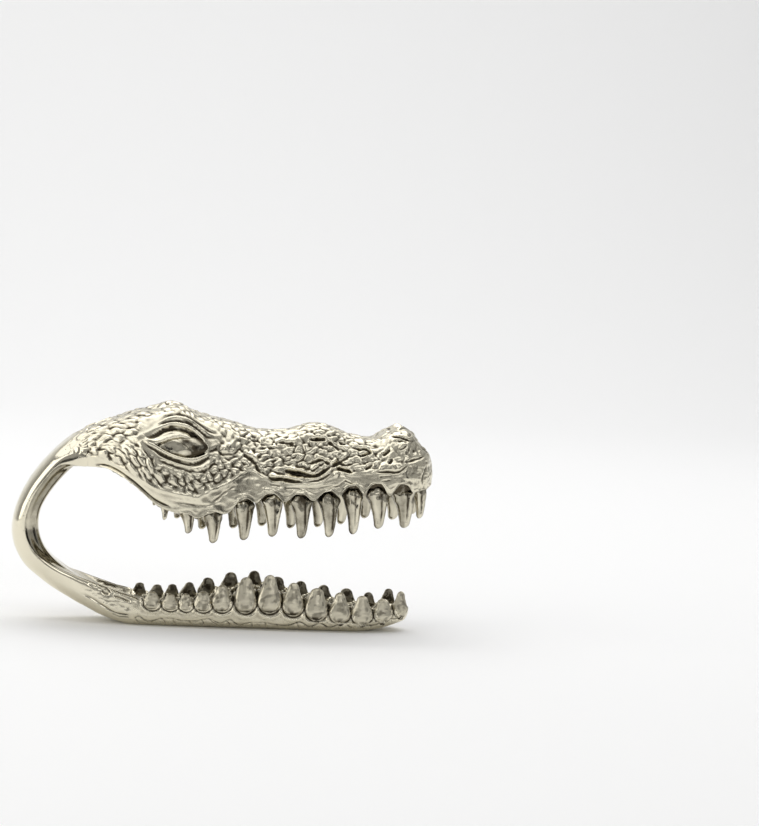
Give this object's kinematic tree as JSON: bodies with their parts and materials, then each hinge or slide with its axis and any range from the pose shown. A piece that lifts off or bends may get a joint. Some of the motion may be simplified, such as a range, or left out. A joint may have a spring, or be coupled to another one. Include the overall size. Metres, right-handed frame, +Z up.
{
  "type": "alligator hair clip",
  "caption": "Crocodile-head hair clip in silvery cast brass: hollow toothed skull, toothed lower jaw, and a springy round bow behind that holds the open mouth.",
  "frame": {"origin": "middle of the bounding box in X and Y, on the plane that the flat sole of the lower jaw stands on", "axes": "+X towards the snout, +Y to the head's left, +Z up from the lower jaw to the skull"},
  "size_m": [0.054, 0.0166, 0.0285],
  "materials": {
    "polished_white_brass": "polished, dark in the carved lines",
    "satin_white_brass": "satin, as cast and brushed",
    "bright_tooth_brass": "polished, dark at the roots",
    "dull_tooth_brass": "satin, finely pitted",
    "eye_brass": "polished, dark round the rim"
  },
  "bodies": {
    "lower_jaw": {"mandible": "satin_white_brass", "bow_lower_arm": "polished_white_brass", "lower_tooth_right_01": "dull_tooth_brass", "lower_tooth_right_02": "dull_tooth_brass", "lower_tooth_right_03": "dull_tooth_brass", "lower_tooth_right_04": "dull_tooth_brass", "lower_tooth_right_05": "dull_tooth_brass", "lower_tooth_right_06": "dull_tooth_brass", "lower_tooth_right_07": "dull_tooth_brass", "lower_tooth_right_08": "dull_tooth_brass", "lower_tooth_right_09": "dull_tooth_brass", "lower_tooth_right_10": "dull_tooth_brass", "lower_tooth_right_11": "dull_tooth_brass", "lower_tooth_right_12": "dull_tooth_brass", "lower_tooth_right_13": "dull_tooth_brass", "lower_tooth_left_01": "dull_tooth_brass", "lower_tooth_left_02": "dull_tooth_brass", "lower_tooth_left_03": "dull_tooth_brass", "lower_tooth_left_04": "dull_tooth_brass", "lower_tooth_left_05": "dull_tooth_brass", "lower_tooth_left_06": "dull_tooth_brass", "lower_tooth_left_07": "dull_tooth_brass", "lower_tooth_left_08": "dull_tooth_brass", "lower_tooth_left_09": "dull_tooth_brass", "lower_tooth_left_10": "dull_tooth_brass", "lower_tooth_left_11": "dull_tooth_brass", "lower_tooth_left_12": "dull_tooth_brass", "lower_tooth_left_13": "dull_tooth_brass"},
    "head": {"skull_shell": "polished_white_brass", "bow_upper_arm": "polished_white_brass", "eye_right": "eye_brass", "eye_left": "eye_brass", "upper_tooth_right_01": "bright_tooth_brass", "upper_tooth_right_02": "bright_tooth_brass", "upper_tooth_right_03": "bright_tooth_brass", "upper_tooth_right_04": "bright_tooth_brass", "upper_tooth_right_05": "bright_tooth_brass", "upper_tooth_right_06": "bright_tooth_brass", "upper_tooth_right_07": "bright_tooth_brass", "upper_tooth_right_08": "bright_tooth_brass", "upper_tooth_right_09": "bright_tooth_brass", "upper_tooth_right_10": "bright_tooth_brass", "upper_tooth_right_11": "bright_tooth_brass", "upper_tooth_left_01": "bright_tooth_brass", "upper_tooth_left_02": "bright_tooth_brass", "upper_tooth_left_03": "bright_tooth_brass", "upper_tooth_left_04": "bright_tooth_brass", "upper_tooth_left_05": "bright_tooth_brass", "upper_tooth_left_06": "bright_tooth_brass", "upper_tooth_left_07": "bright_tooth_brass", "upper_tooth_left_08": "bright_tooth_brass", "upper_tooth_left_09": "bright_tooth_brass", "upper_tooth_left_10": "bright_tooth_brass", "upper_tooth_left_11": "bright_tooth_brass"}
  },
  "joints": [
    {"name": "bow_flex", "type": "hinge", "parent": "lower_jaw", "child": "head", "pos_m": [-0.02535, 0, 0.0121], "axis": [0, -1, 0], "range_deg": [-4, 4], "stiffness_Nm_per_rad": 20}
  ]
}
